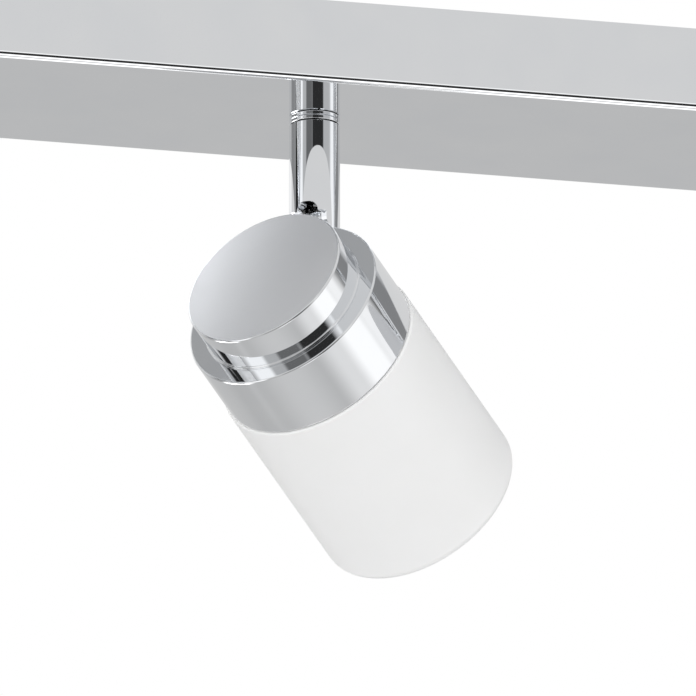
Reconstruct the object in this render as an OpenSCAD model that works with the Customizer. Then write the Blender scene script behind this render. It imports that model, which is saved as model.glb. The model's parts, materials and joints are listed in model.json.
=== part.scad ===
/* [Bar] */
// Length of the ceiling bar
bar_length = 600; // [560:10:800]
// Depth of the bar from front to back
bar_depth = 75; // [70:1:100]
// Height of the bar below the ceiling
bar_height = 24; // [22:0.5:40]
// Thickness of the bar's chromed sheet
bar_wall = 1; // [0.8:0.1:1.4]
// Outside radius of the bar's folded edges
bar_edge = 1.2; // [1:0.1:2]
// Distance between neighbouring spotlights
head_spacing = 200; // [200:5:240]

/* [Ceiling plate] */
// Thickness of the steel ceiling plate
plate_thickness = 1.5; // [1.2:0.1:2]
// Distance between the two ceiling screw slots
slot_spacing = 300; // [280:5:330]
// Width of each ceiling screw slot
slot_width = 5.2; // [4:0.1:6]
// End-to-end length of each ceiling screw slot
slot_length = 14; // [10:1:20]
// Diameter of the hole through the cable grommet
cable_hole = 9; // [6:0.5:11]

/* [Stem] */
// Diameter of the chromed stem
stem_diameter = 14.5; // [14:0.1:16]
// Height from the bar's underside to the tilt pivot
pivot_drop = 30.2; // [28:0.2:50]
// Thickness of the collar under the bar
collar_height = 1.2; // [1:0.1:3]
// Diameter of the threaded shank through the bar
shank_diameter = 10; // [8:0.5:11]
// Diameter of the wire hole along the stem
wire_hole = 4.4; // [4:0.1:4.8]

/* [Hinge] */
// Width of the slot that takes the tongue
hinge_slot = 6; // [5.6:0.1:6.4]
// Sideways offset of the slot from the stem's axis
slot_offset = 1.5; // [0:0.1:1.6]
// Height of the slot's roof above the pivot
slot_roof = 4.3; // [4.2:0.1:5]
// Radius of the slot's upper corners
slot_corner = 2.2; // [1:0.1:2.2]
// Radius of the tongue's round eye
eye_radius = 3.4; // [3:0.1:3.4]
// Diameter of the pivot screw
pin_diameter = 3; // [2.5:0.1:3.2]
// Gap between the pivot's centre and the ring's side
pivot_height = 4.1; // [4.1:0.1:5]
// Distance of the pivot ahead of the ring's back face
pivot_inset = 2.4; // [2:0.1:3]

/* [Head] */
// Angle of the head below horizontal, as stored
rest_tilt = 26.9; // [0:0.1:60]
// Turn of the head about the stem, as stored
rest_swivel = 44.8; // [0:0.1:90]
// Diameter of the wide chrome ring
ring_diameter = 59.4; // [56:0.2:70]
// Length of the wide chrome ring
ring_length = 21.2; // [21:0.1:30]
// Wall thickness of the ring
ring_wall = 1.5; // [1.4:0.1:2]
// Diameter of the chrome back cap
cap_diameter = 48.5; // [46:0.1:52]
// Length of the back cap
cap_length = 11.7; // [10:0.1:20]
// Wall thickness of the back cap
cap_wall = 1.2; // [1:0.1:1.4]
// Width of the small bevel on the chrome edges
edge_bevel = 0.35; // [0.2:0.05:0.5]

/* [Glass] */
// How far the opal glass stands out past the side of the ring
glass_overhang = 0.6; // [0.4:0.1:2]
// Length of glass that stands out of the ring
glass_length = 64; // [55:1:70]
// Thickness of the glass wall
glass_wall = 2.5; // [2:0.1:3]
// Radius of the glass's closed end
glass_corner = 3; // [2.6:0.2:8]
// Length of the glass neck inside the ring
neck_length = 5.7; // [4:0.1:6]
// Thickness of the silicone gasket between the neck and the ring
gasket_wall = 0.8; // [0.6:0.1:1.2]

/* [Lamp] */
// Diameter of the pin-base lamp
lamp_diameter = 15; // [12:0.5:17]
// Length of the lamp's clear envelope
lamp_length = 29; // [20:1:32]
// Diameter of the ceramic lamp holder
holder_diameter = 19; // [18:0.5:22]

/* [Hidden] */
HEADS = ["left", "middle", "right"];
$fn = 96;

fit = 0.05;          // radial clearance of a running fit
gap = 0.3;           // clearance between pieces that turn past each other
seat = 0.1;          // clearance between faces that only rest together
eps = 0.01;          // overrun of a cut past a face

stem_r = stem_diameter / 2;
shank_r = shank_diameter / 2;
pin_r = pin_diameter / 2;
ring_r = ring_diameter / 2;
cap_r = cap_diameter / 2;
glass_r = ring_r + glass_overhang;
ring_bore = ring_r - ring_wall;
pivot_z = -bar_height - pivot_drop;
axis_drop = ring_r + pivot_height;               // pivot to head axis
underside = -bar_height;
inside_floor = underside + bar_wall;
stem_top = underside - collar_height - gap;
wire_offset = wire_hole / 4;
wire_r = 0.8;

washer_height = 0.5;
washer_width = 3.5;                               // of the friction washers
nut_height = 4;
nut_across = 14;                                  // across the flats
nut_gap = seat;
shank_top = inside_floor + washer_height + nut_gap + nut_height + 3;
lead_top = shank_top + 2.5;

spigot_length = 1.4;
spigot_r = cap_r - cap_wall - 0.2;
bracket_thickness = 1.2;
bracket_width = 14;
screw_r = 1.5;
screw_grip = 2.3;
screw_head_r = 2.4;
screw_head_height = 1.6;
screw_circle = (spigot_r + ring_bore) / 2 + 0.1;
holder_length = 13;
holder_base = ring_wall + bracket_thickness;
holder_top = holder_base + holder_length;
lamp_pin_r = 0.9;
lamp_pin_spacing = 9;
lamp_pin_length = 5;
lamp_base_length = 11;

tongue_thickness = hinge_slot - 2 * (washer_height + seat);
tongue_front = 8.4;                               // furthest point from the ring's back face
tongue_back = 1.9;
foot_end = 14.4;
foot_width = 12;
foot_flat = ring_bore - 1.6;
foot_screw = 11;                                  // foot screws, from the ring's back face
foot_screw_side = 3.2;
ear_radius = pivot_height - gap - 0.1;
shoulder = 1.6;                                   // full round of the stem ends this far above the pivot
gasket_length = 3.8;
neck_r = ring_bore - gasket_wall;

screw_line = -11;                                 // height of the cover screws
cover_screw_r = 2;
cover_screw_grip = 9;
cover_head_r = 3.6;
cover_nut = [3.2, 7, 7];
tab_x = bar_length / 2 - bar_wall - gap - plate_thickness;
tab_width = 20;
tab_reach = 6;                                    // tab below the cover screws
plate_width = bar_depth - 15;
cable_x = 60;
grommet_wall = 2;
grommet_lip = 1.8;
block_x = 112;
block_size = [34, 28, 13];
pole_pitch = 8;
terminal_x = 9;                                   // terminal screws, from the block's middle
terminal_screw_r = 2.2;
earth_place = [32, 15];
lead_z = -8;
clip_places = [-100, 172];
clip_size = [6, 22, 1.2];
clip_leg = 2;
counterbore = 3;                                  // depth of the pivot screw's counterbore
head_seat = counterbore - stem_r - 1;             // pivot screw's head, along the pivot

// x position of a named spotlight
function head_x(side) = side == "left" ? -head_spacing : side == "right" ? head_spacing : 0;

// A disc with both rims bevelled, along +Z
module bevelled_disc(radius, length, bevel) {
    rotate_extrude()
        polygon([[0, 0], [radius - bevel, 0], [radius, bevel], [radius, length - bevel],
                 [radius - bevel, length], [0, length]]);
}

// A plain tube along +Z
module tube(outer, inner, length) {
    difference() {
        cylinder(r = outer, h = length);
        translate([0, 0, -eps]) cylinder(r = inner, h = length + 2 * eps);
    }
}

// A pan-head screw along +Z: its head stands below z = 0 and its shank above
module pan_screw(shank, grip, head, head_height) {
    difference() {
        union() {
            translate([0, 0, -head_height]) bevelled_disc(head, head_height, 0.3);
            cylinder(r = shank, h = grip);
        }
        for (turn = [0, 90]) rotate([0, 0, turn])
            translate([-head * 0.6, -0.35, -head_height - eps]) cube([head * 1.2, 0.7, 0.8]);
    }
}

// A rectangle whose lower two corners are round
module folded_profile(width, height, radius) {
    translate([-width / 2, -height + radius]) square([width, height - radius]);
    translate([-width / 2 + radius, -height]) square([width - 2 * radius, height]);
    for (side = [-1, 1]) translate([side * (width / 2 - radius), -height + radius]) circle(r = radius);
}

// A wire along straight runs with round elbows
module wire(points) {
    for (i = [0 : len(points) - 2]) {
        run = points[i + 1] - points[i];
        length = norm(run);
        translate(points[i])
            rotate([0, acos(run[2] / length), atan2(run[1], run[0])])
                cylinder(r = wire_r, h = length, $fn = 24);
    }
    for (i = [1 : len(points) - 2]) translate(points[i]) sphere(r = wire_r, $fn = 24);
}

// Frame of the stem's lower end: +X along the pivot screw, +Y where the head points
module at_pivot(side) {
    translate([head_x(side), 0, pivot_z]) rotate([0, 0, rest_swivel - 90]) children();
}

// Frame of the head: +Z along the head from the ring's back face to the glass, +Y towards the pivot.
// It is a mirror image, so that +X still runs along the pivot screw
module at_head(side) {
    at_pivot(side)
        rotate([-rest_tilt, 0, 0])
            translate([0, -pivot_inset, -axis_drop])
                rotate([-90, 0, 0]) mirror([0, 1, 0]) children();
}

// Chromed sheet bar, folded down on four sides and open to the ceiling
module bar_cover() {
    color([0.86, 0.87, 0.88])
    difference() {
        intersection() {
            translate([-bar_length / 2, 0, 0]) rotate([90, 0, 90])
                linear_extrude(bar_length) folded_profile(bar_depth, bar_height, bar_edge);
            translate([0, bar_depth / 2, 0]) rotate([90, 0, 0])
                linear_extrude(bar_depth) folded_profile(bar_length, bar_height, bar_edge);
        }
        translate([-bar_length / 2 + bar_wall, -bar_depth / 2 + bar_wall, inside_floor])
            cube([bar_length - 2 * bar_wall, bar_depth - 2 * bar_wall, bar_height]);
        for (side = HEADS) translate([head_x(side), 0, underside - 1])
            cylinder(r = shank_r + fit, h = bar_wall + 2);
        for (turn = [0, 180]) rotate([0, 0, turn])
            translate([bar_length / 2 - bar_wall - 1, 0, screw_line]) rotate([0, 90, 0])
                cylinder(r = cover_screw_r + fit, h = bar_wall + 2);
    }
}

// Steel plate that is screwed to the ceiling, with a tab at each end for the cover
module ceiling_plate() {
    color([0.72, 0.73, 0.74])
    difference() {
        union() {
            translate([-tab_x - plate_thickness, -plate_width / 2, -plate_thickness])
                cube([2 * (tab_x + plate_thickness), plate_width, plate_thickness]);
            for (turn = [0, 180]) rotate([0, 0, turn])
                translate([tab_x, -tab_width / 2, screw_line - tab_reach])
                    cube([plate_thickness, tab_width, tab_reach - screw_line]);
        }
        for (side = [-1, 1]) translate([side * slot_spacing / 2, 0, -plate_thickness - 1]) {
            for (end = [-1, 1]) translate([end * (slot_length - slot_width) / 2, 0, 0])
                cylinder(r = slot_width / 2, h = plate_thickness + 2);
            translate([-(slot_length - slot_width) / 2, -slot_width / 2, 0])
                cube([slot_length - slot_width, slot_width, plate_thickness + 2]);
        }
        translate([cable_x, 0, -plate_thickness - 1])
            cylinder(r = cable_hole / 2 + grommet_wall, h = plate_thickness + 2);
        translate([earth_place[0], earth_place[1], -plate_thickness - 1])
            cylinder(r = cover_screw_r + fit, h = plate_thickness + 2);
        for (turn = [0, 180]) rotate([0, 0, turn])
            translate([tab_x - 1, 0, screw_line]) rotate([0, 90, 0])
                cylinder(r = cover_screw_r + fit, h = plate_thickness + 2);
    }
}

// Two screws that hold the bar to the plate's tabs
module cover_screws() {
    color([0.8, 0.8, 0.82])
    for (turn = [0, 180]) rotate([0, 0, turn])
        translate([bar_length / 2, 0, screw_line]) rotate([0, -90, 0])
            pan_screw(cover_screw_r, cover_screw_grip, cover_head_r, 2);
}

// Two square nuts behind the plate's tabs
module cover_nuts() {
    color([0.75, 0.72, 0.6])
    for (turn = [0, 180]) rotate([0, 0, turn])
        translate([tab_x - cover_nut[0], 0, screw_line]) difference() {
            translate([0, -cover_nut[1] / 2, -cover_nut[2] / 2]) cube(cover_nut);
            translate([-1, 0, 0]) rotate([0, 90, 0])
                cylinder(r = cover_screw_r + fit, h = cover_nut[0] + 2);
        }
}

// Rubber grommet that lines the cable hole
module cable_grommet() {
    color([0.12, 0.12, 0.13])
    translate([cable_x, 0, 0]) difference() {
        union() {
            translate([0, 0, -plate_thickness - grommet_lip])
                cylinder(r = cable_hole / 2 + 2 * grommet_wall, h = grommet_lip);
            translate([0, 0, -plate_thickness])
                cylinder(r = cable_hole / 2 + grommet_wall, h = plate_thickness);
        }
        translate([0, 0, -plate_thickness - 3]) cylinder(r = cable_hole / 2, h = plate_thickness + 6);
    }
}

// Three-pole terminal block under the plate
module terminal_block() {
    color([0.93, 0.93, 0.9])
    translate([block_x, 0, -plate_thickness - block_size[2]]) difference() {
        translate([-block_size[0] / 2, -block_size[1] / 2, 0]) cube(block_size);
        for (row = [-1, 0, 1]) {
            for (end = [-1, 1]) {
                translate([end * terminal_x, row * pole_pitch, -eps])
                    cylinder(r = terminal_screw_r + 0.2, h = 4);
                translate([end * (block_size[0] / 2 - 6), row * pole_pitch, 7])
                    rotate([0, end * 90, 0]) cylinder(r = 2, h = 8);
            }
        }
    }
}

// Six slotted clamping screws of the terminal block
module terminal_screws() {
    color([0.8, 0.75, 0.5])
    for (row = [-1, 0, 1]) for (end = [-1, 1])
        translate([block_x + end * terminal_x, row * pole_pitch,
                   -plate_thickness - block_size[2] + 1.2]) difference() {
            cylinder(r = terminal_screw_r, h = 2.7);
            translate([-3, -0.35, -eps]) cube([6, 0.7, 0.9]);
        }
}

// Brass earth screw with its flat washer
module earth_screw() {
    color([0.83, 0.68, 0.35])
    translate([earth_place[0], earth_place[1], -plate_thickness]) {
        pan_screw(cover_screw_r, plate_thickness, cover_head_r, 2.4);
        translate([0, 0, -0.8]) cylinder(r = 4.6, h = 0.8);
    }
}

// Nylon clips that hold the leads up against the plate
module lead_clips() {
    shelf = lead_z - wire_r - 0.2 - clip_size[2];
    color([0.9, 0.9, 0.88])
    for (place = clip_places) translate([place - clip_size[0] / 2, 0, shelf]) {
        translate([0, -clip_size[1] / 2, 0]) cube(clip_size);
        for (side = [-1, 1]) translate([0, side * (clip_size[1] - clip_leg) / 2 - clip_leg / 2, 0])
            cube([clip_size[0], clip_leg, -plate_thickness - shelf]);
    }
}

// Insulated leads from the terminal block to the top of each stem
module bar_leads() {
    color([0.45, 0.25, 0.15])
    for (side = HEADS) for (core = [-1, 1]) {
        x = head_x(side);
        start = block_x + (side == "right" ? 1 : -1) * (block_size[0] / 2 - 4);
        way = sign(x - start);
        lane = core * (side == "left" ? pole_pitch : pole_pitch / 2);
        wire([[start, core * pole_pitch, lead_z + 0.5], [start + way * 12, core * pole_pitch, lead_z],
              [start + way * 20, lane, lead_z - (side == "middle" ? 1 : 0)],
              [x - way * 6, lane, lead_z], [x, core * wire_offset, lead_z - 1.5],
              [x, core * wire_offset, lead_top]]);
    }
}

// Friction washers between the bar and the stem nuts
module friction_washers() {
    color([0.92, 0.92, 0.9])
    for (side = HEADS) translate([head_x(side), 0, inside_floor])
        tube(shank_r + washer_width, shank_r + fit, washer_height);
}

// Chromed collar fixed under the bar, around the shank
module collar(side) {
    color([0.86, 0.87, 0.88])
    translate([head_x(side), 0, underside - collar_height]) difference() {
        bevelled_disc(stem_r, collar_height, 0.15);
        translate([0, 0, -1]) cylinder(r = shank_r + fit, h = collar_height + 2);
    }
}

// Hollow chromed stem with its threaded shank and the slotted end for the tongue
module stem(side) {
    color([0.86, 0.87, 0.88])
    difference() {
        union() {
            translate([head_x(side), 0, 0]) {
                translate([0, 0, stem_top]) cylinder(r = shank_r, h = shank_top - stem_top);
                rotate_extrude()
                    polygon([[0, pivot_z + shoulder], [stem_r - 0.25, pivot_z + shoulder],
                             [stem_r, pivot_z + shoulder + 0.25], [stem_r, stem_top - 0.2],
                             [stem_r - 0.2, stem_top], [0, stem_top]]);
            }
            intersection() {
                translate([head_x(side), 0, pivot_z - stem_r]) cylinder(r = stem_r, h = 2 * stem_r);
                at_pivot(side) {
                    rotate([0, 90, 0]) cylinder(r = ear_radius, h = 3 * stem_r, center = true);
                    translate([-stem_r - 1, -ear_radius, 0])
                        cube([stem_diameter + 2, 2 * ear_radius, shoulder + 1]);
                }
            }
        }
        at_pivot(side) {
            translate([slot_offset, stem_r + 1, 0]) rotate([90, 0, 0])
                linear_extrude(stem_diameter + 2) rotate(180)
                    folded_profile_below(hinge_slot, slot_roof, slot_corner);
            rotate([0, 90, 0]) {
                translate([0, 0, -stem_r - 1]) cylinder(r = pin_r + fit, h = stem_r);
                cylinder(r = pin_r, h = slot_offset + hinge_slot / 2 + 1.6);
                translate([0, 0, -stem_r - 1]) cylinder(r = screw_head_r + 0.3, h = counterbore);
            }
        }
        translate([head_x(side), 0, pivot_z]) cylinder(r = wire_hole / 2, h = shank_top - pivot_z + 1);
    }
}

// Slot outline: a folded profile carried on past the stem's end
module folded_profile_below(width, height, radius) {
    folded_profile(width, height, radius);
    translate([-width / 2, -eps]) square([width, 2 * stem_r]);
}

// Hexagon nut that holds the stem above the bar's sheet
module stem_nut(side) {
    color([0.8, 0.76, 0.6])
    translate([head_x(side), 0, inside_floor + washer_height + nut_gap]) difference() {
        cylinder(r = nut_across / 2 / cos(30), h = nut_height, $fn = 6);
        translate([0, 0, -1]) cylinder(r = shank_r, h = nut_height + 2);
    }
}

// Two insulated cores down the inside of the stem
module stem_lead(side) {
    color([0.45, 0.25, 0.15])
    for (core = [-1, 1])
        translate([head_x(side), core * wire_offset, pivot_z + slot_roof + 0.4])
            cylinder(r = wire_r, h = lead_top - pivot_z - slot_roof - 0.4, $fn = 24);
}

// Shouldered pivot screw, put in from the side and blind at its tip
module pivot_screw(side) {
    color([0.82, 0.83, 0.84])
    at_pivot(side) translate([head_seat, 0, 0]) rotate([0, 90, 0])
        pan_screw(pin_r, slot_offset + hinge_slot / 2 + 1.5 - head_seat, screw_head_r, screw_head_height);
}

// Thin washers on both sides of the tongue
module pivot_washers(side) {
    color([0.8, 0.8, 0.8])
    for (face = [-hinge_slot / 2, hinge_slot / 2 - washer_height])
        at_pivot(side) translate([slot_offset + face, 0, 0]) rotate([0, 90, 0])
            tube(pin_r + 1, pin_r + fit / 2, washer_height);
}

// Chromed hinge tongue: crowned eye, neck and the foot inside the ring
module tongue(side) {
    crown = 0.5;
    half = tongue_thickness / 2;
    color([0.86, 0.87, 0.88])
    at_head(side) difference() {
        union() {
            translate([slot_offset, axis_drop, pivot_inset]) rotate([0, 90, 0])
                rotate_extrude() polygon([
                    [0, -half], for (t = [-1 : 0.25 : 1]) [eye_radius - crown * t * t, half * t],
                    [0, half]]);
            translate([slot_offset - half, 0, 0]) rotate([0, 90, 0]) linear_extrude(tongue_thickness)
                polygon([[-tongue_back, foot_flat], [-tongue_back, ring_r + 0.1],
                         [-pivot_inset + eye_radius * 0.72, axis_drop - eye_radius * 0.55],
                         [-pivot_inset, axis_drop],
                         [-pivot_inset - eye_radius * 0.72, axis_drop + eye_radius * 0.55],
                         [-tongue_front, ring_r + 0.6], [-tongue_front, foot_flat]]);
            intersection() {
                cylinder(r = ring_bore - fit, h = foot_end);
                translate([slot_offset - foot_width / 2, foot_flat, tongue_back])
                    cube([foot_width, 10, foot_end - tongue_back]);
            }
        }
        translate([slot_offset - hinge_slot, axis_drop, pivot_inset]) rotate([0, 90, 0])
            cylinder(r = pin_r + fit, h = 2 * hinge_slot);
        for (place = [-1, 1])
            translate([slot_offset + place * foot_screw_side, foot_flat - 1, foot_screw])
                rotate([-90, 0, 0]) cylinder(r = screw_r, h = 6);
    }
}

// Wide chromed ring that carries the glass
module ring(side) {
    color([0.86, 0.87, 0.88])
    at_head(side) difference() {
        bevelled_disc(ring_r, ring_length, edge_bevel);
        translate([0, 0, ring_wall]) cylinder(r = ring_bore, h = ring_length);
        translate([0, 0, -1]) cylinder(r = spigot_r + fit, h = ring_wall + 2);
        translate([slot_offset - tongue_thickness / 2 - 0.1, foot_flat, tongue_back - 0.1])
            cube([tongue_thickness + 0.2, 10, tongue_front - tongue_back + 0.2]);
        for (place = [-1, 1]) {
            translate([slot_offset + place * foot_screw_side, foot_flat, foot_screw])
                rotate([-90, 0, 0]) cylinder(r = screw_r, h = screw_grip);
            translate([place * screw_circle, 0, holder_base - screw_grip])
                cylinder(r = screw_r, h = screw_grip);
        }
    }
}

// Chromed back cap, turned with a spigot that enters the ring
module back_cap(side) {
    color([0.86, 0.87, 0.88])
    at_head(side) difference() {
        union() {
            translate([0, 0, -cap_length]) bevelled_disc(cap_r, cap_length, edge_bevel);
            cylinder(r = spigot_r, h = spigot_length);
        }
        translate([0, 0, -cap_length + cap_wall])
            cylinder(r = spigot_r - cap_wall, h = cap_length + spigot_length);
    }
}

// Steel strip across the ring that carries the lamp holder
module holder_bracket(side) {
    color([0.72, 0.73, 0.74])
    at_head(side) translate([0, 0, ring_wall]) difference() {
        intersection() {
            cylinder(r = ring_bore - 0.3, h = bracket_thickness);
            translate([-ring_r, -bracket_width / 2, 0])
                cube([ring_diameter, bracket_width, bracket_thickness]);
        }
        for (place = [-1, 1]) translate([place * screw_circle, 0, -1]) cylinder(r = screw_r, h = 4);
        translate([0, 0, -1]) cylinder(r = 3, h = 4);
    }
}

// Four identical screws: two in the tongue's foot, two in the bracket
module head_screws(side) {
    color([0.8, 0.8, 0.82])
    at_head(side) for (place = [-1, 1]) {
        translate([place * screw_circle, 0, holder_base]) rotate([180, 0, 0])
            pan_screw(screw_r, screw_grip, screw_head_r, screw_head_height);
        translate([slot_offset + place * foot_screw_side, foot_flat, foot_screw])
            rotate([-90, 0, 0]) pan_screw(screw_r, screw_grip, screw_head_r, screw_head_height);
    }
}

// Ceramic holder with the two sockets for the lamp's pins
module lamp_holder(side) {
    color([0.95, 0.94, 0.9])
    at_head(side) difference() {
        translate([0, 0, holder_base]) bevelled_disc(holder_diameter / 2, holder_length, 0.6);
        for (place = [-1, 1]) translate([place * lamp_pin_spacing / 2, 0, holder_top - lamp_pin_length - 1])
            cylinder(r = lamp_pin_r + 0.1, h = lamp_pin_length + 2);
        translate([0, 0, holder_base - 1]) cylinder(r = 3, h = 5);
    }
}

// White base of the lamp with its two wire pins
module lamp_base(side) {
    color([0.96, 0.96, 0.94])
    at_head(side) {
        translate([0, 0, holder_top + seat])
            bevelled_disc(lamp_diameter / 2, lamp_base_length, 0.5);
        for (place = [-1, 1]) translate([place * lamp_pin_spacing / 2, 0, holder_top - lamp_pin_length])
            cylinder(r = lamp_pin_r, h = lamp_pin_length + 1);
    }
}

// Frosted envelope of the lamp
module lamp_envelope(side) {
    radius = lamp_diameter / 2 - 0.4;
    color([0.98, 0.95, 0.85])
    at_head(side) translate([0, 0, holder_top + seat + lamp_base_length]) {
        cylinder(r = radius, h = lamp_length - radius);
        intersection() {
            translate([0, 0, lamp_length - radius]) sphere(r = radius);
            translate([0, 0, lamp_length - radius - eps]) cylinder(r = 2 * radius, h = 2 * radius);
        }
    }
}

// Silicone gasket between the glass neck and the ring
module glass_gasket(side) {
    color([0.9, 0.9, 0.9])
    at_head(side) translate([0, 0, ring_length - gasket_length])
        tube(ring_bore, neck_r, gasket_length - 0.2);
}

// Opal glass shade: closed end, round corner and a narrower neck
module glass_shade(side) {
    inner = glass_r - glass_wall;
    end = ring_length + seat + glass_length;
    corner = min(glass_corner, glass_wall + 1);
    color([0.97, 0.97, 0.96])
    at_head(side) difference() {
        rotate_extrude() {
            translate([0, ring_length + seat]) square([glass_r, glass_length - corner]);
            translate([0, end - corner - eps]) square([glass_r - corner, corner + eps]);
            translate([glass_r - corner, end - corner]) circle(r = corner);
            translate([0, ring_length - neck_length]) square([neck_r, neck_length + 1]);
        }
        translate([0, 0, ring_length - neck_length - 1])
            cylinder(r = neck_r - glass_wall, h = neck_length + 2 * glass_wall);
        translate([0, 0, ring_length + seat + glass_wall])
            cylinder(r = inner, h = glass_length - 2 * glass_wall);
    }
}

bar_cover();
ceiling_plate();
cover_screws();
cover_nuts();
cable_grommet();
terminal_block();
terminal_screws();
earth_screw();
lead_clips();
bar_leads();
friction_washers();
for (side = HEADS) {
    collar(side);
    stem(side);
    stem_nut(side);
    stem_lead(side);
    pivot_screw(side);
    pivot_washers(side);
    tongue(side);
    ring(side);
    back_cap(side);
    holder_bracket(side);
    head_screws(side);
    lamp_holder(side);
    lamp_base(side);
    lamp_envelope(side);
    glass_gasket(side);
    glass_shade(side);
}
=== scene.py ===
"""A chromed ceiling bar with three adjustable spotlights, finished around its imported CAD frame.

All lengths in the sections are in millimetres and become metres when a mesh is made.
"""
import json
import math

import bpy
import numpy as np
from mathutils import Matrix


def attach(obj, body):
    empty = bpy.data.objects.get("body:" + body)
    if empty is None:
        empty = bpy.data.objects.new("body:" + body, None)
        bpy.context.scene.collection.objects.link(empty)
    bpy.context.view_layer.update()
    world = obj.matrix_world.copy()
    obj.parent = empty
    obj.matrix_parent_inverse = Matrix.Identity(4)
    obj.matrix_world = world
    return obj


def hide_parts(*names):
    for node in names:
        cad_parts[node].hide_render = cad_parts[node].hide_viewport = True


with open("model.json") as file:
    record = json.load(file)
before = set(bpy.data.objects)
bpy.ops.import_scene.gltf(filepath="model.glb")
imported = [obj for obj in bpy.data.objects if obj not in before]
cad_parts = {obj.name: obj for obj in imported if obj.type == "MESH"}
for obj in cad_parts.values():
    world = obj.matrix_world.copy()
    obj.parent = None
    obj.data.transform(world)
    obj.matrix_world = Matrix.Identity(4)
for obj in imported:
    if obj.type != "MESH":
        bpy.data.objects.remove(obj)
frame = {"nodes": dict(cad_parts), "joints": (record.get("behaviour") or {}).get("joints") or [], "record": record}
bpy.context.view_layer.update()

MM = 0.001
SIDES = ["left", "middle", "right"]
JOINTS = {joint["name"]: joint for joint in frame["joints"]}


# ---- Camera ------------------------------------------------------------------------------------
# A long lens looks up at the middle spotlight from below and from the left, almost in parallel
# projection, so the bar runs out of the picture on both sides.

VIEW_TURN = math.radians(13.9)       # towards the left of straight ahead
VIEW_RISE = math.radians(17.5)       # upwards
VIEW_DISTANCE = 8500.0
VIEW_WIDTH = 197.45                  # width of the picture at the spotlight
SENSOR = 36.0
VIEW_CENTRE = (9.79, 0.0, -90.72)    # the point in the stem's plane at the picture's middle

look = np.array([math.sin(VIEW_TURN) * math.cos(VIEW_RISE),
                 math.cos(VIEW_TURN) * math.cos(VIEW_RISE), math.sin(VIEW_RISE)])
camera = bpy.data.objects.new("camera", bpy.data.cameras.new("camera"))
bpy.context.scene.collection.objects.link(camera)
camera.data.sensor_width = SENSOR
camera.data.lens = SENSOR * VIEW_DISTANCE / VIEW_WIDTH
camera.data.clip_end = 1000.0
camera.location = (np.array(VIEW_CENTRE) - look * VIEW_DISTANCE) * MM
camera.rotation_euler = (math.pi / 2 + VIEW_RISE, 0.0, -VIEW_TURN)
bpy.context.scene.camera = camera


# ---- Studio ------------------------------------------------------------------------------------
# A white sweep seen by the camera, with a pale floor far below. Polished chrome shows the room
# around it, so the room has a grey base, one tall soft white panel on each side of the bar and
# dark strips beside them, as they are hung for bright metal.

FLOOR_DEPTH = 36000.0                # far below, so that no view from underneath is blocked
FLOOR_SIZE = 400000.0


def linear(code):
    """Linear colour of an sRGB hex code: each channel is undone by the sRGB curve."""
    channels = [int(code[i:i + 2], 16) / 255 for i in (1, 3, 5)]
    return tuple(c / 12.92 if c <= 0.04045 else ((c + 0.055) / 1.055) ** 2.4 for c in channels) + (1.0,)


def add(tree, kind, links=(), values=None, **settings):
    """Adds one node, sets its properties and input values, and links (input, node, output) triples."""
    made = tree.nodes.new(kind)
    for name, value in settings.items():
        setattr(made, name, value)
    for place, value in (values or {}).items():
        made.inputs[place].default_value = value
    for place, node, output in links:
        tree.links.new(node.outputs[output], made.inputs[place])
    return made


def studio_patch(tree, base, turn, rise, spread, height, soft, grey):
    """A soft-edged rectangle on the room's sphere laid over base, centred at an azimuth and elevation:
    its strength is the product of two smooth steps, one for the azimuth's and one for the elevation's
    distance from the centre."""
    masks = []
    for angle, middle, half in ((azimuth, turn, spread), (elevation, rise, height)):
        off = add(tree, "ShaderNodeMath", [(0, angle, 0)], operation="SUBTRACT", values={1: middle})
        size = add(tree, "ShaderNodeMath", [(0, off, 0)], operation="ABSOLUTE")
        masks.append(add(tree, "ShaderNodeMapRange", [("Value", size, 0)],
                         interpolation_type="SMOOTHSTEP",
                         values={"From Min": half - soft, "From Max": half + soft,
                                 "To Min": 1.0, "To Max": 0.0}))
    both = add(tree, "ShaderNodeMath", [(0, masks[0], 0), (1, masks[1], 0)], operation="MULTIPLY")
    return add(tree, "ShaderNodeMix", [("Factor", both, 0), ("A", base, 0)], data_type="FLOAT",
               values={"B": grey})


scene = bpy.context.scene
scene.view_settings.view_transform = "Standard"
scene.world = bpy.data.worlds.new("studio")
scene.world.use_nodes = True
room = scene.world.node_tree
room.nodes.clear()
heading = add(room, "ShaderNodeTexCoord")
axes = add(room, "ShaderNodeSeparateXYZ", [(0, heading, "Generated")])
towards = add(room, "ShaderNodeMath", [(0, axes, "Y")], operation="MULTIPLY", values={1: -1.0})
turn_rad = add(room, "ShaderNodeMath", [(0, axes, "X"), (1, towards, 0)], operation="ARCTAN2")
azimuth = add(room, "ShaderNodeMath", [(0, turn_rad, 0)], operation="DEGREES")      # 0 at -Y, 90 at +X
rise_rad = add(room, "ShaderNodeMath", [(0, axes, "Z")], operation="ARCSINE")
elevation = add(room, "ShaderNodeMath", [(0, rise_rad, 0)], operation="DEGREES")
# brightness of the room by height: (elevation in degrees, linear grey)
ROOM_HEIGHTS = [(-90, 0.64), (-76, 0.60), (-60, 0.52), (-30, 0.49),
                (-18, 0.53), (2, 0.55), (14, 0.70), (90, 0.72)]
height_share = add(room, "ShaderNodeMapRange", [("Value", elevation, 0)],
                   values={"From Min": -90.0, "From Max": 90.0})
sweep = add(room, "ShaderNodeValToRGB", [("Fac", height_share, 0)])
for i, (rise, grey) in enumerate(ROOM_HEIGHTS):
    at = (rise + 90) / 180
    stop = sweep.color_ramp.elements[i] if i < 2 else sweep.color_ramp.elements.new(at)
    stop.position = at
    stop.color = (grey, grey, grey, 1.0)
sweep_grey = add(room, "ShaderNodeRGBToBW", [(0, sweep, 0)])
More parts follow.
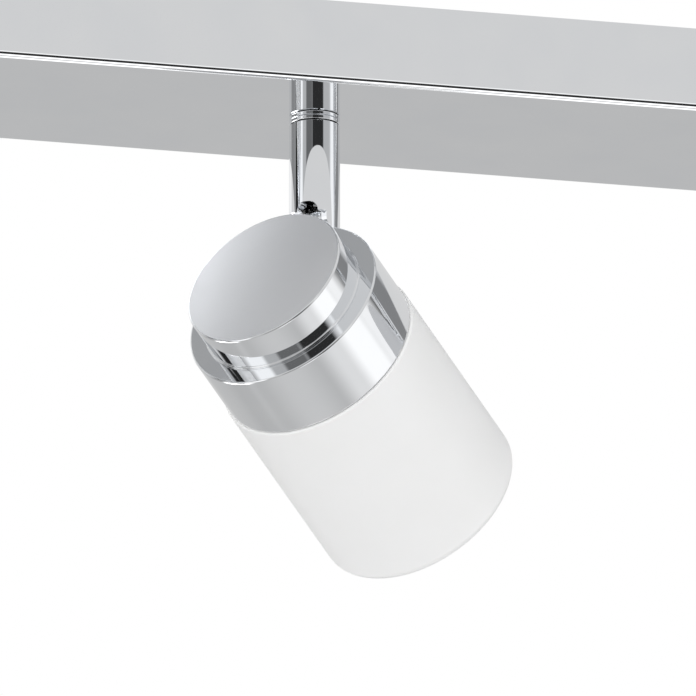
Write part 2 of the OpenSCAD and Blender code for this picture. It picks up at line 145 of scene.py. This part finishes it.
# panels and dark strips: azimuth, elevation, half width, half height, softness, linear grey
PANELS = [
    (72, -38, 20, 14, 10, 0.80),      # tall white panel to the right, its lower and fading part
    (74, -17, 12, 14, 6, 1.12),       # its bright middle
    (86, 0, 8, 6, 4, 1.0),            # its upper end
    (108, -20, 13, 10, 3, 0.27),      # grey strip beside it
    (104, 4, 9, 12, 3, 0.06),         # its darker upper part
    (-78, -10, 9, 26, 3, 1.12),       # tall white panel to the left
    (-101, -4, 9, 26, 3, 0.02),       # dark strip beside it
    (-128, -14, 15, 12, 4, 0.28),     # grey wall behind that strip
    (-102, -60, 14, 9, 4, 0.42),      # dim floor to the left
    (-138, -38, 17, 13, 6, 5.8),      # low reflector behind, to the left
    (-160, 21, 19, 6, 5, 1.0),        # white wall behind, to the left
    (-38, -24, 14, 12, 3, 0.16),      # dim room in front, to the left
    (2, -27, 24, 20, 3, 0.03),        # dark room in front, below
    (-8, -10, 15, 13, 3, 0.03),       # and its higher part
    (16, 2, 8, 9, 2, 1.1),            # low white card in front
    (32, -62, 26, 12, 4, 1.5),       # white floor card in front
    (150, -50, 22, 22, 6, 1.45),       # white floor card behind
]
shade = sweep_grey
for panel in PANELS:
    shade = studio_patch(room, shade, *panel)
reflected = add(room, "ShaderNodeBackground", [("Color", shade, 0)], values={"Strength": 1.0})
# light on the white glass: brighter from the front left and above
glow = add(room, "ShaderNodeVectorMath", [(0, heading, "Generated")], operation="DOT_PRODUCT",
           values={1: (-0.80, -0.48, 0.36)})
glow_level = add(room, "ShaderNodeMapRange", [("Value", glow, "Value")],
                 values={"From Min": -1.0, "From Max": 1.0, "To Min": 1.02, "To Max": 1.62})
diffused = add(room, "ShaderNodeBackground", values={"Color": linear("#ffffff")},
               links=[("Strength", glow_level, 0)])
seen = add(room, "ShaderNodeBackground", values={"Color": linear("#ffffff"), "Strength": 1.0})
ray = add(room, "ShaderNodeLightPath")
soft_or_mirror = add(room, "ShaderNodeMixShader",
                     [(0, ray, "Is Diffuse Ray"), (1, reflected, 0), (2, diffused, 0)])
camera_or_room = add(room, "ShaderNodeMixShader",
                     [(0, ray, "Is Camera Ray"), (1, soft_or_mirror, 0), (2, seen, 0)])
add(room, "ShaderNodeOutputWorld", [("Surface", camera_or_room, 0)])


WELD = 1e-4                          # points this close, in mm, are one


def welded(name, patches):
    """One object at the origin from grids of points and normals, each (rows, columns, 3) in mm.
    Points that meet are joined, a quad that closes on a pole becomes a triangle, faces are turned
    to agree with the normals, and every face corner keeps its own grid's normal."""
    points = np.concatenate([grid.reshape(-1, 3) for grid, _ in patches])
    normals = np.concatenate([np.broadcast_to(facing, grid.shape).reshape(-1, 3)
                              for grid, facing in patches])
    quads, start = [], 0
    for grid, _ in patches:
        rows, columns = grid.shape[:2]
        ids = np.arange(rows * columns).reshape(rows, columns) + start
        square = [ids[:-1, :-1], ids[:-1, 1:], ids[1:, 1:], ids[1:, :-1]]
        quads.append(np.stack(square, axis=2).reshape(-1, 4))
        start += rows * columns
    quads = np.concatenate(quads)
    keys, joined = np.unique(np.round(points / WELD).astype(np.int64), axis=0, return_inverse=True)
    joined = joined.ravel()
    corners = points[quads]
    facing = np.cross(corners[:, 2] - corners[:, 0], corners[:, 3] - corners[:, 1])
    flip = (facing * normals[quads].sum(axis=1)).sum(axis=1) < 0
    quads[flip] = quads[flip][:, ::-1]
    faces, corner_normals = [], []
    for quad in quads.tolist():
        kept = [i for i, before in zip(quad, quad[-1:] + quad[:-1]) if joined[i] != joined[before]]
        if len(kept) > 2:
            faces.append([int(joined[i]) for i in kept])
            corner_normals.extend(normals[kept].tolist())
    mesh = bpy.data.meshes.new(name)
    mesh.from_pydata((keys * WELD * MM).tolist(), [], faces)
    mesh.shade_smooth()
    mesh.normals_split_custom_set(corner_normals)
    piece = bpy.data.objects.new(name, mesh)
    scene.collection.objects.link(piece)
    return piece


def pale_floor():
    """A flat square far below, pale and matt, that only the camera sees."""
    half = FLOOR_SIZE / 2
    square = np.array([[[x, y, -FLOOR_DEPTH] for x in (-half, half)] for y in (-half, half)])
    floor = welded("floor", [(square, [0.0, 0.0, 1.0])])
    paint = bpy.data.materials.new("pale_floor")
    paint.use_nodes = True
    shader = paint.node_tree.nodes["Principled BSDF"]
    shader.inputs["Base Color"].default_value = linear("#f2f2f1")
    shader.inputs["Roughness"].default_value = 0.8
    floor.data.materials.append(paint)
    floor.visible_glossy = False
    floor.visible_diffuse = False


pale_floor()


# ---- Bar cover ---------------------------------------------------------------------------------
# A sheet steel box, folded down on four sides, ground, polished and plated with bright chrome.
# Its folds are tight, and three holes take the stems' threaded shanks.

BAR_LENGTH, BAR_DEPTH, BAR_HEIGHT = 600.0, 75.0, 24.0
SHEET = 1.0
FOLD = 1.7
SHANK_HOLE = 5.05
FOLD_STEPS = 10
SPAN_STEPS, DEPTH_STEPS = 25, 19     # points along each panel's sides
SCREW_HOLE, SCREW_LINE = 2.05, -11.0


def principled(name, colour, metallic=0.0, roughness=0.4, **inputs):
    """New material with its shader's own constant values; returns (material, tree, shader)."""
    material = bpy.data.materials.new(name)
    material.use_nodes = True
    tree = material.node_tree
    shader = tree.nodes["Principled BSDF"]
    shader.inputs["Base Color"].default_value = linear(colour)
    shader.inputs["Metallic"].default_value = metallic
    shader.inputs["Roughness"].default_value = roughness
    for socket, value in inputs.items():
        shader.inputs[socket.replace("_", " ")].default_value = value
    return material, tree, shader


def polished_chrome():
    """Bright chrome plate on polished steel: a cool neutral mirror. The buffing wheel leaves very
    fine hairlines that only soften the reflection a little, in broad uneven patches."""
    material, tree, shader = principled("bright_chrome_plate", "#f1f2f4", metallic=1.0, roughness=0.03)
    place = add(tree, "ShaderNodeTexCoord")
    haze = add(tree, "ShaderNodeTexNoise", [("Vector", place, "Object")],
               values={"Scale": 1 / (18 * MM), "Detail": 3.0})
    haze_level = add(tree, "ShaderNodeMapRange", [("Value", haze, "Fac")],
                     values={"From Min": 0.3, "From Max": 0.7, "To Min": 0.015, "To Max": 0.05})
    tree.links.new(haze_level.outputs[0], shader.inputs["Roughness"])
    tint = add(tree, "ShaderNodeValToRGB", [("Fac", haze, "Fac")])
    tint.color_ramp.elements[0].color = linear("#eceef1")
    tint.color_ramp.elements[1].color = linear("#f4f5f6")
    tree.links.new(tint.outputs[0], shader.inputs["Base Color"])
    return material


def walk(across, along):
    """Closed walk round a rectangle through the given positions on its sides, first point repeated."""
    loop = [(a, along[0]) for a in across] + [(across[-1], b) for b in along[1:-1]]
    loop += [(a, along[-1]) for a in across[::-1]] + [(across[0], b) for b in along[-2:0:-1]]
    return np.array(loop + loop[:1])


def holed_panel(across, along, centre, radius, spread, deep, facing, inner_across, inner_along):
    """Both skins of a flat panel with one round hole, and the hole's wall between them.

    In the panel's plane a skin is the rows centre + unit * radius and the walk round its rectangle,
    where unit points from the hole to the outer rectangle's points. spread places the plane's two
    axes in space and deep is the step from the outer skin to the inner one."""
    outline, inside = walk(across, along), walk(inner_across, inner_along)
    unit = (outline - centre) / np.linalg.norm(outline - centre, axis=1)[:, None]
    rim = centre + unit * radius
    outer = np.stack([rim, outline]) @ spread[:2] + spread[2]
    inner = np.stack([rim, inside]) @ spread[:2] + spread[2] + deep
    wall = np.stack([outer[0], inner[0]])
    return [(outer, facing), (inner, -facing), (wall, np.stack([-unit @ spread[:2]] * 2))]


def folded_cover():
    """Box shell. Outside, every point of the rounded outline goes straight down the wall and then
    round the fold: corner + way * FOLD * cos(t) - up * FOLD * sin(t). Inside is a plain box."""
    half_x, half_y = BAR_LENGTH / 2, BAR_DEPTH / 2
    stems = [JOINTS[side + "_swivel"]["pos_m"][0] / MM for side in SIDES]
    seams = [(a + b) / 2 for a, b in zip(stems, stems[1:])]
    edges = [-half_x + FOLD, *seams, half_x - FOLD]
    spans = [np.linspace(a, b, SPAN_STEPS) for a, b in zip(edges, edges[1:])]
    xs = np.unique(np.round(np.concatenate(spans), 6))
    ys = np.linspace(-half_y + FOLD, half_y - FOLD, DEPTH_STEPS)
    inner_xs, inner_ys = xs.copy(), ys.copy()
    inner_xs[[0, -1]] = -half_x + SHEET, half_x - SHEET
    inner_ys[[0, -1]] = -half_y + SHEET, half_y - SHEET

    def four_sides(across, along):
        """The rectangle's four sides, each walked from its start to its end, as (points, 2) arrays."""
        front = np.stack([across, np.full_like(across, along[0])], 1)
        right = np.stack([np.full_like(along, across[-1]), along], 1)
        back = np.stack([across[::-1], np.full_like(across, along[-1])], 1)
        left = np.stack([np.full_like(along, across[0]), along[::-1]], 1)
        return front, right, back, left

    # rounded outline: (corner or straight point, outward way, matching inner point)
    outline = []
    for number, (line, inner_line) in enumerate(zip(four_sides(xs, ys), four_sides(inner_xs, inner_ys))):
        start = math.radians(90 * number - 90)
        outline += [(*p, math.cos(start), math.sin(start), *q) for p, q in zip(line, inner_line)]
        outline += [(*line[-1], math.cos(t), math.sin(t), *inner_line[-1])
                    for t in np.linspace(start, start + math.pi / 2, FOLD_STEPS)[1:-1]]
    outline = np.array(outline + outline[:1])
    corner = np.column_stack([outline[:, :2], np.zeros(len(outline))])
    way = np.column_stack([outline[:, 2:4], np.zeros(len(outline))])
    inner_rim = np.column_stack([outline[:, 4:], np.zeros(len(outline))])
    up = np.array([0.0, 0.0, 1.0])

    top = corner + way * FOLD
    knee = top - up * (BAR_HEIGHT - FOLD)
    slopes = np.linspace(0, math.pi / 2, FOLD_STEPS)
    fold = np.array([corner - up * (BAR_HEIGHT - FOLD) + way * FOLD * math.cos(t) - up * FOLD * math.sin(t)
                     for t in slopes])
    fold_normals = np.array([way * math.cos(t) - up * math.sin(t) for t in slopes])
    patches = [(fold, fold_normals), (np.stack([top, inner_rim]), up)]
    end_wall = (np.abs(way[:-1, 0]) > 0.999) & (np.abs(way[1:, 0]) > 0.999)
    bounds = np.flatnonzero(np.diff(np.concatenate([[True], end_wall, [True]]).astype(int)))
    for first, last in zip(bounds[::2], bounds[1::2]):
        patches.append((np.stack([top, knee])[:, first:last + 1], np.stack([way, way])[:, first:last + 1]))

    for span, x in zip(spans, stems):
        inner_span = np.interp(span, xs, inner_xs)
        patches += holed_panel(span, ys, np.array([x, 0.0]), SHANK_HOLE,
                               np.array([[1, 0, 0], [0, 1, 0], [0, 0, -BAR_HEIGHT]], float),
                               up * SHEET, -up, inner_span, inner_ys)
    for sign in (-1, 1):
        patches += holed_panel(ys, np.array([-BAR_HEIGHT + FOLD, 0.0]), np.array([0.0, SCREW_LINE]),
                               SCREW_HOLE, np.array([[0, 1, 0], [0, 0, 1], [sign * half_x, 0, 0]], float),
                               np.array([-sign * SHEET, 0, 0]), np.array([sign, 0.0, 0.0]),
                               inner_ys, np.array([-BAR_HEIGHT + SHEET, 0.0]))
        y = sign * (half_y - SHEET)
        long_wall = np.array([[[x, y, z] for x in inner_xs] for z in (0.0, -BAR_HEIGHT + SHEET)])
        patches.append((long_wall, np.array([0.0, -sign, 0.0])))
    return welded("chrome_bar", patches)


chrome = polished_chrome()
cover = folded_cover()
cover.data.materials.append(chrome)
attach(cover, "bar")
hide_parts("bar_cover")


# ---- Collars -----------------------------------------------------------------------------------
# A thin turned and chromed collar under the bar hides each shank's hole. A narrow dark line below
# it shows where the turning stem begins.

COLLAR_RADIUS, COLLAR_HEIGHT = 7.25, 1.2
COLLAR_EDGE = 0.3
BURR = 0.1                           # edges only touched with a file, here and inside the ring
TURNED_STEPS = 256


def rounded(corners, radii, steps=6):
    """Closed outline whose corners become arcs tangent to both edges: returns points and unit
    normals, which point to the right of the walking direction."""
    corners = np.asarray(corners, float)
    points, normals = [], []
    neighbours = zip(np.roll(corners, 1, 0), corners, np.roll(corners, -1, 0), radii)
    for before, corner, after, radius in neighbours:
        a, b = corner - before, after - corner
        a, b = a / np.linalg.norm(a), b / np.linalg.norm(b)
        bend = math.atan2(a[0] * b[1] - a[1] * b[0], a @ b)
        normal_a = np.array([a[1], -a[0]])
        if radius <= 0:
            points += [corner, corner]
            normals += [normal_a, np.array([b[1], -b[0]])]
            continue
        trim = radius * abs(math.tan(bend / 2))
        start = corner - a * trim
        side = math.copysign(1.0, bend)
        centre = start - normal_a * radius * side
        for share in np.linspace(0, 1, steps):
            turn = bend * share
            spin = np.array([[math.cos(turn), -math.sin(turn)], [math.sin(turn), math.cos(turn)]])
            normal = spin @ normal_a
            points.append(centre + normal * radius * side)
            normals.append(normal)
    return np.array(points), np.array(normals)


def swept(outline, normals, place, closed=True):
    """Grid and normals of an outline (radius, height) carried round an axis: the point at angle t is
    (radius * cos t, radius * sin t, height) in the 3x4 placement's axes."""
    if closed:
        outline, normals = (np.concatenate([values, values[:1]]) for values in (outline, normals))
    angles = np.linspace(0, 2 * math.pi, TURNED_STEPS + 1)
    cos, sin = np.cos(angles)[:, None], np.sin(angles)[:, None]
    still = np.ones_like(cos)
    grid = np.stack([outline[:, 0] * cos, outline[:, 0] * sin, outline[:, 1] * still], axis=2)
    facing = np.stack([normals[:, 0] * cos, normals[:, 0] * sin, normals[:, 1] * still], axis=2)
    return grid @ place[:, :3].T + place[:, 3], facing @ place[:, :3].T


def upright(side, height):
    """Placement of an upright axis at a spotlight's stem, its zero at the given height."""
    x = JOINTS[side + "_swivel"]["pos_m"][0] / MM
    return np.column_stack([np.eye(3), [x, 0.0, height]])


for side in SIDES:
    ring_shape = rounded([(SHANK_HOLE, -COLLAR_HEIGHT), (COLLAR_RADIUS, -COLLAR_HEIGHT),
                          (COLLAR_RADIUS, 0), (SHANK_HOLE, 0)], [BURR, COLLAR_EDGE, COLLAR_EDGE, BURR])
    collar = welded("chrome_collar_" + side, [swept(*ring_shape, upright(side, -BAR_HEIGHT))])
    collar.data.materials.append(chrome)
    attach(collar, "bar")
    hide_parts("collar_" + side)


# ---- Stems and hinges --------------------------------------------------------------------------
# The stem is turned from brass bar, drilled for the leads, milled with a round-topped slot and
# chromed. The slot holds the hinge tongue between two thin washers on a blind pivot screw.

for side in SIDES:
    for node in ("stem_", "tongue_"):
        frame["nodes"][node + side].data.materials.clear()
        frame["nodes"][node + side].data.materials.append(chrome)


# ---- Head ring and back cap --------------------------------------------------------------------
# Two turned aluminium shells, polished and chromed: the wide ring carries the glass, the narrower
# cap closes the back. The cap's end face is faced on a lathe and keeps a soft, satin look.

RING_RADIUS, RING_LENGTH, RING_WALL = 29.7, 21.2, 1.5
CAP_RADIUS, CAP_LENGTH, CAP_WALL = 24.25, 11.7, 1.2
LIP_RADIUS, LIP_LENGTH = 24.7, 0.7
CROWN = 0.9                          # height of the cap face's faint dome
LIP_EDGE, LIP_ROOT = 0.3, 0.12
SPIGOT_RADIUS, SPIGOT_LENGTH = 22.85, 1.4
SPIGOT_GAP, SPIGOT_EDGE = 0.05, 0.15
EDGE, RING_INNER_EDGE, CAP_INNER_EDGE = 0.55, 0.2, 0.3
DOME_STEPS = 25
PIVOT_HEIGHT, PIVOT_INSET = 4.1, 2.4
REST_TILT = math.radians(26.9)       # how far a head points down at rest


def head_place(side):
    """Placement of the head's axis, square to the tilt joint's axis and REST_TILT below the level;
    zero at the ring's back face. along = level * cos(tilt) - up * sin(tilt)."""
    up = np.array([0.0, 0.0, 1.0])
    hinge = np.array(JOINTS[side + "_tilt"]["axis"])
    hinge = hinge / np.linalg.norm(hinge)
    level = np.cross(hinge, up)
    along = level * math.cos(REST_TILT) - up * math.sin(REST_TILT)
    rise = np.cross(along, hinge)
    pivot = np.array(JOINTS[side + "_tilt"]["pos_m"]) / MM
    start = pivot - rise * (RING_RADIUS + PIVOT_HEIGHT) - along * PIVOT_INSET
    return np.column_stack([rise, -hinge, along, start])


def satin_chrome():
    """Chrome over a lathe-faced surface: fine round tool marks blur the reflection."""
    material, tree, shader = principled("lathe_faced_chrome", "#e9eaec", metallic=1.0, roughness=0.42)
    place = add(tree, "ShaderNodeTexCoord")
    haze = add(tree, "ShaderNodeTexNoise", [("Vector", place, "Object")],
               values={"Scale": 1 / (6 * MM), "Detail": 4.0})
    haze_level = add(tree, "ShaderNodeMapRange", [("Value", haze, "Fac")],
                     values={"From Min": 0.3, "From Max": 0.7, "To Min": 0.40, "To Max": 0.44})
    tree.links.new(haze_level.outputs[0], shader.inputs["Roughness"])
    return material


satin = satin_chrome()
for side in SIDES:
    place = head_place(side)
    ring_shape = rounded([(SPIGOT_RADIUS + SPIGOT_GAP, 0), (RING_RADIUS, 0), (RING_RADIUS, RING_LENGTH),
                          (RING_RADIUS - RING_WALL, RING_LENGTH), (RING_RADIUS - RING_WALL, RING_WALL),
                          (SPIGOT_RADIUS + SPIGOT_GAP, RING_WALL)],
                         [BURR, EDGE, EDGE, RING_INNER_EDGE, RING_INNER_EDGE, BURR])
    ring = welded("chrome_ring_" + side, [swept(*ring_shape, place)])
    ring.data.materials.append(chrome)
    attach(ring, "head_" + side)
    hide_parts("ring_" + side)

    cap_shape, cap_normals = rounded(
        [(0, -CAP_LENGTH), (CAP_RADIUS, -CAP_LENGTH), (CAP_RADIUS, -LIP_LENGTH), (LIP_RADIUS, -LIP_LENGTH),
         (LIP_RADIUS, 0), (SPIGOT_RADIUS, 0), (SPIGOT_RADIUS, SPIGOT_LENGTH),
         (SPIGOT_RADIUS - CAP_WALL, SPIGOT_LENGTH), (SPIGOT_RADIUS - CAP_WALL, -CAP_LENGTH + CAP_WALL),
         (0, -CAP_LENGTH + CAP_WALL)],
        [0, EDGE, LIP_ROOT, LIP_EDGE, LIP_ROOT, 0, SPIGOT_EDGE, SPIGOT_EDGE, CAP_INNER_EDGE, 0])
    rim = cap_shape[2, 0]                # the dome's height is CROWN * (1 - (radius / rim)^2)
    share = np.linspace(0, 1, DOME_STEPS)
    dome = np.column_stack([rim * share, -CAP_LENGTH - CROWN * (1 - share ** 2)])
    slope = 2 * CROWN * share / rim
    dome_normals = np.column_stack([slope, -np.ones_like(slope)]) / np.hypot(slope, 1)[:, None]
    cap = welded("chrome_cap_" + side, [swept(cap_shape[2:], cap_normals[2:], place, closed=False),
                                        swept(dome, dome_normals, place, closed=False)])
    cap.data.materials.append(chrome)
    cap.data.materials.append(satin)
    centres = np.zeros(len(cap.data.polygons) * 3)
    cap.data.polygons.foreach_get("center", centres)
    depth = (centres.reshape(-1, 3) / MM - place[:, 3]) @ place[:, 2]
    cap.data.polygons.foreach_set("material_index", (depth < -CAP_LENGTH).astype(np.int32))
    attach(cap, "head_" + side)
    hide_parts("back_cap_" + side)


# ---- Glass shade -------------------------------------------------------------------------------
# A mould-blown opal glass cylinder, closed at the far end with a soft round edge and acid-etched
# to a satin skin. A narrower neck sits in the ring against a silicone gasket.

GLASS_RADIUS, GLASS_LENGTH, GLASS_WALL, GLASS_CORNER = 30.3, 64.0, 2.5, 3.0
NECK_RADIUS, NECK_LENGTH, SEAT = 27.4, 5.7, 0.1
INNER_CORNER, SOFT_EDGE, STEP_ROOT = 1.5, 0.6, 0.2


def opal_glass():
    """Satin opal glass: milk-white all through, so light spreads under the skin, and the etched
    skin gives a broad faint sheen."""
    material, tree, shader = principled(
        "etched_opal_glass", "#f4f4f3", roughness=0.38, IOR=1.5, Subsurface_Weight=0.35, Subsurface_Scale=0.004)
    shader.inputs["Subsurface Radius"].default_value = (1.0, 0.98, 0.95)
    place = add(tree, "ShaderNodeTexCoord")
    cloud = add(tree, "ShaderNodeTexNoise", [("Vector", place, "Object")],
                values={"Scale": 1 / (25 * MM), "Detail": 3.0})
    tint = add(tree, "ShaderNodeValToRGB", [("Fac", cloud, "Fac")])
    tint.color_ramp.elements[0].color = linear("#f1f1f0")
    tint.color_ramp.elements[1].color = linear("#f6f6f6")
    tree.links.new(tint.outputs[0], shader.inputs["Base Color"])
    etch = add(tree, "ShaderNodeTexNoise", [("Vector", place, "Object")],
               values={"Scale": 1 / (0.35 * MM), "Detail": 2.0})
    bump = add(tree, "ShaderNodeBump", [("Height", etch, "Fac")],
               values={"Strength": 0.04, "Distance": 0.05 * MM})
    tree.links.new(bump.outputs[0], shader.inputs["Normal"])
    return material


opal = opal_glass()
for side in SIDES:
    mouth, start, end = RING_LENGTH - NECK_LENGTH, RING_LENGTH + SEAT, RING_LENGTH + SEAT + GLASS_LENGTH
    inner, inner_neck = GLASS_RADIUS - GLASS_WALL, NECK_RADIUS - GLASS_WALL
    shade_shape = rounded([(0, end - GLASS_WALL), (inner, end - GLASS_WALL), (inner, start + GLASS_WALL),
                           (inner_neck, start + GLASS_WALL), (inner_neck, mouth), (NECK_RADIUS, mouth),
                           (NECK_RADIUS, start), (GLASS_RADIUS, start), (GLASS_RADIUS, end), (0, end)],
                          [0, INNER_CORNER, SOFT_EDGE, SOFT_EDGE, SOFT_EDGE, SOFT_EDGE, STEP_ROOT,
                           SOFT_EDGE, GLASS_CORNER, 0], 10)
    glass = welded("opal_glass_" + side, [swept(*shade_shape, head_place(side), closed=False)])
    glass.data.materials.append(opal)
    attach(glass, "head_" + side)
    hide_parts("glass_shade_" + side)


# ---- Hidden and back pieces --------------------------------------------------------------------
# The ceiling plate, its screws and terminals, and what the heads hold inside keep their CAD
# shapes. Each gets the finish of its real material.


def grainy(name, colours, grain, roughness, metallic=0.0, bump=0.1, **inputs):
    """Material mottled between two colours at a grain size in mm, with roughness and fine bump
    that follow the same noise."""
    material, tree, shader = principled(name, colours[0], metallic=metallic, roughness=roughness, **inputs)
    place = add(tree, "ShaderNodeTexCoord")
    noise = add(tree, "ShaderNodeTexNoise", [("Vector", place, "Object")],
                values={"Scale": 1 / (grain * MM), "Detail": 4.0})
    tint = add(tree, "ShaderNodeValToRGB", [("Fac", noise, "Fac")])
    tint.color_ramp.elements[0].position, tint.color_ramp.elements[1].position = 0.35, 0.65
    tint.color_ramp.elements[0].color = linear(colours[0])
    tint.color_ramp.elements[1].color = linear(colours[1])
    level = add(tree, "ShaderNodeMapRange", [("Value", noise, "Fac")],
                values={"From Min": 0.3, "From Max": 0.7, "To Min": roughness * 0.8, "To Max": roughness * 1.2})
    relief = add(tree, "ShaderNodeBump", [("Height", noise, "Fac")],
                 values={"Strength": bump, "Distance": 0.1 * MM})
    tree.links.new(tint.outputs[0], shader.inputs["Base Color"])
    tree.links.new(level.outputs[0], shader.inputs["Roughness"])
    tree.links.new(relief.outputs[0], shader.inputs["Normal"])
    return material


def two_core_insulation():
    """Extruded silicone sleeves: white on one core and black on the other, told apart by which side
    of the bar's middle line they run."""
    material, tree, shader = principled("extruded_silicone_sleeve", "#e4e2dc", roughness=0.45)
    place = add(tree, "ShaderNodeTexCoord")
    split = add(tree, "ShaderNodeSeparateXYZ", [(0, place, "Object")])
    core = add(tree, "ShaderNodeMath", [(0, split, "Y")], operation="GREATER_THAN", values={1: 0.0})
    tint = add(tree, "ShaderNodeValToRGB", [("Fac", core, 0)])
    tint.color_ramp.elements[0].color = linear("#e4e2dc")
    tint.color_ramp.elements[1].color = linear("#1f1f21")
    tree.links.new(tint.outputs[0], shader.inputs["Base Color"])
    return material


FINISHES = {
    "steel": grainy("zinc_plated_steel", ("#b4b7ba", "#c9ccce"), 5.0, 0.34, metallic=1.0, bump=0.05),
    "brass": grainy("turned_brass", ("#b99a55", "#cdb06a"), 2.0, 0.28, metallic=1.0, bump=0.04),
    "rubber": grainy("moulded_epdm_rubber", ("#1b1b1c", "#262627"), 0.8, 0.7, bump=0.2),
    "white_plastic": grainy("moulded_polyamide", ("#e6e5e0", "#efeeea"), 1.5, 0.45, bump=0.06),
    "ceramic": grainy("glazed_steatite", ("#ece7da", "#f5f1e6"), 2.5, 0.22, bump=0.05, Coat_Weight=0.4),
    "silicone": grainy("moulded_silicone", ("#d9d9d8", "#e6e6e5"), 1.0, 0.5, bump=0.05),
    "lamp_glass": grainy("frosted_lamp_glass", ("#f4efe0", "#fbf7ea"), 1.2, 0.5, bump=0.05),
    "lead_insulation": two_core_insulation(),
}
for row in frame["record"]["subparts"]:
    node = frame["nodes"][row["node"]]
    if row["material_slot"] in FINISHES:
        node.data.materials.clear()
        node.data.materials.append(FINISHES[row["material_slot"]])

bpy.context.view_layer.update()
